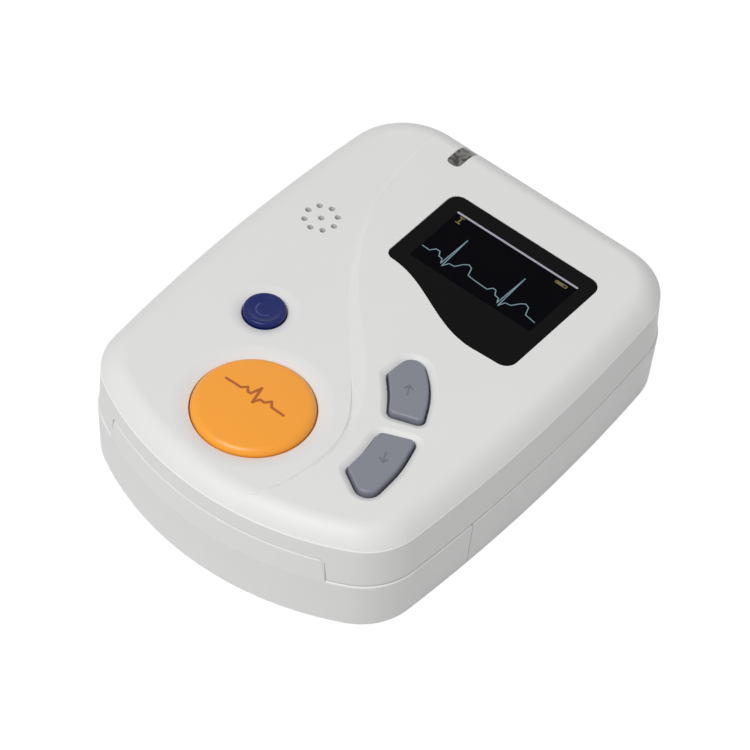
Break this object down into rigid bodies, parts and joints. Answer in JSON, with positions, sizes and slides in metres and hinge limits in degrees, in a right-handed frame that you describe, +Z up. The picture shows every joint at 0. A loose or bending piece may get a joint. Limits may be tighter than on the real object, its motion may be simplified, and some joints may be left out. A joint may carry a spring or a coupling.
{
  "type": "ecg home monitor",
  "caption": "Pocket heart monitor: flat rounded case with a big round event button, a power button, arrow keys, a dark display window and a sliding battery cover.",
  "frame": {"origin": "middle of the casing's outline, on the plane that the base rests on", "axes": "+Z up from the base to the deck with the buttons, +Y along the length to the end with the sockets and the indicator, +X to the side with the arrow keys and the display"},
  "size_m": [0.0838, 0.1108, 0.0282],
  "materials": {
    "casing_white": "satin",
    "screw_steel": "satin",
    "button_orange": "semi-gloss",
    "button_blue": "gloss",
    "key_grey": "satin",
    "switch_black": "satin",
    "sheet_metal": "satin",
    "window_black": "gloss",
    "foam_black": "matt",
    "display_glass": "gloss",
    "carrier_black": "satin",
    "ribbon_amber": "satin",
    "board_green": "satin",
    "indicator_smoke": "gloss",
    "lamp_white": "satin",
    "cell_jacket": "satin",
    "contact_metal": "satin"
  },
  "bodies": {
    "casing": {"upper_shell": "casing_white", "lower_shell": "casing_white", "case_screws": "screw_steel", "event_switch": "sheet_metal", "power_switch": "sheet_metal", "up_switch": "sheet_metal", "down_switch": "sheet_metal", "window": "window_black", "window_tape": "foam_black", "display_foam": "foam_black", "display_glass": "display_glass", "display_carrier": "carrier_black", "display_ribbon": "ribbon_amber", "main_board": "board_green", "board_screws": "screw_steel", "processor": "switch_black", "signal_shield": "sheet_metal", "speaker": "carrier_black", "speaker_mesh": "sheet_metal", "indicator_window": "indicator_smoke", "indicator_lamp": "lamp_white", "lead_socket": "carrier_black", "data_socket": "sheet_metal", "front_cell": "cell_jacket", "rear_cell": "cell_jacket", "positive_contact": "contact_metal", "negative_contact": "contact_metal", "bridge_contact": "contact_metal"},
    "battery_cover": {"battery_cover": "casing_white"},
    "event_button": {"event_button": "button_orange", "event_plunger": "switch_black"},
    "power_button": {"power_button": "button_blue", "power_plunger": "switch_black"},
    "up_key": {"up_key": "key_grey", "up_plunger": "switch_black"},
    "down_key": {"down_key": "key_grey", "down_plunger": "switch_black"}
  },
  "joints": [
    {"name": "event_button_press", "type": "slide", "parent": "casing", "child": "event_button", "axis": [0, 0, -1], "range_m": [0, 0.0006], "stiffness_N_per_m": 1600, "springref_m": -0.0003},
    {"name": "power_button_press", "type": "slide", "parent": "casing", "child": "power_button", "axis": [0, 0, -1], "range_m": [0, 0.0005], "stiffness_N_per_m": 1400, "springref_m": -0.0003},
    {"name": "up_key_press", "type": "slide", "parent": "casing", "child": "up_key", "axis": [0, 0, -1], "range_m": [0, 0.0005], "stiffness_N_per_m": 1400, "springref_m": -0.0003},
    {"name": "down_key_press", "type": "slide", "parent": "casing", "child": "down_key", "axis": [0, 0, -1], "range_m": [0, 0.0005], "stiffness_N_per_m": 1400, "springref_m": -0.0003},
    {"name": "battery_cover_slide", "type": "slide", "parent": "casing", "child": "battery_cover", "axis": [0, -1, 0], "range_m": [0, 0.015]}
  ]
}
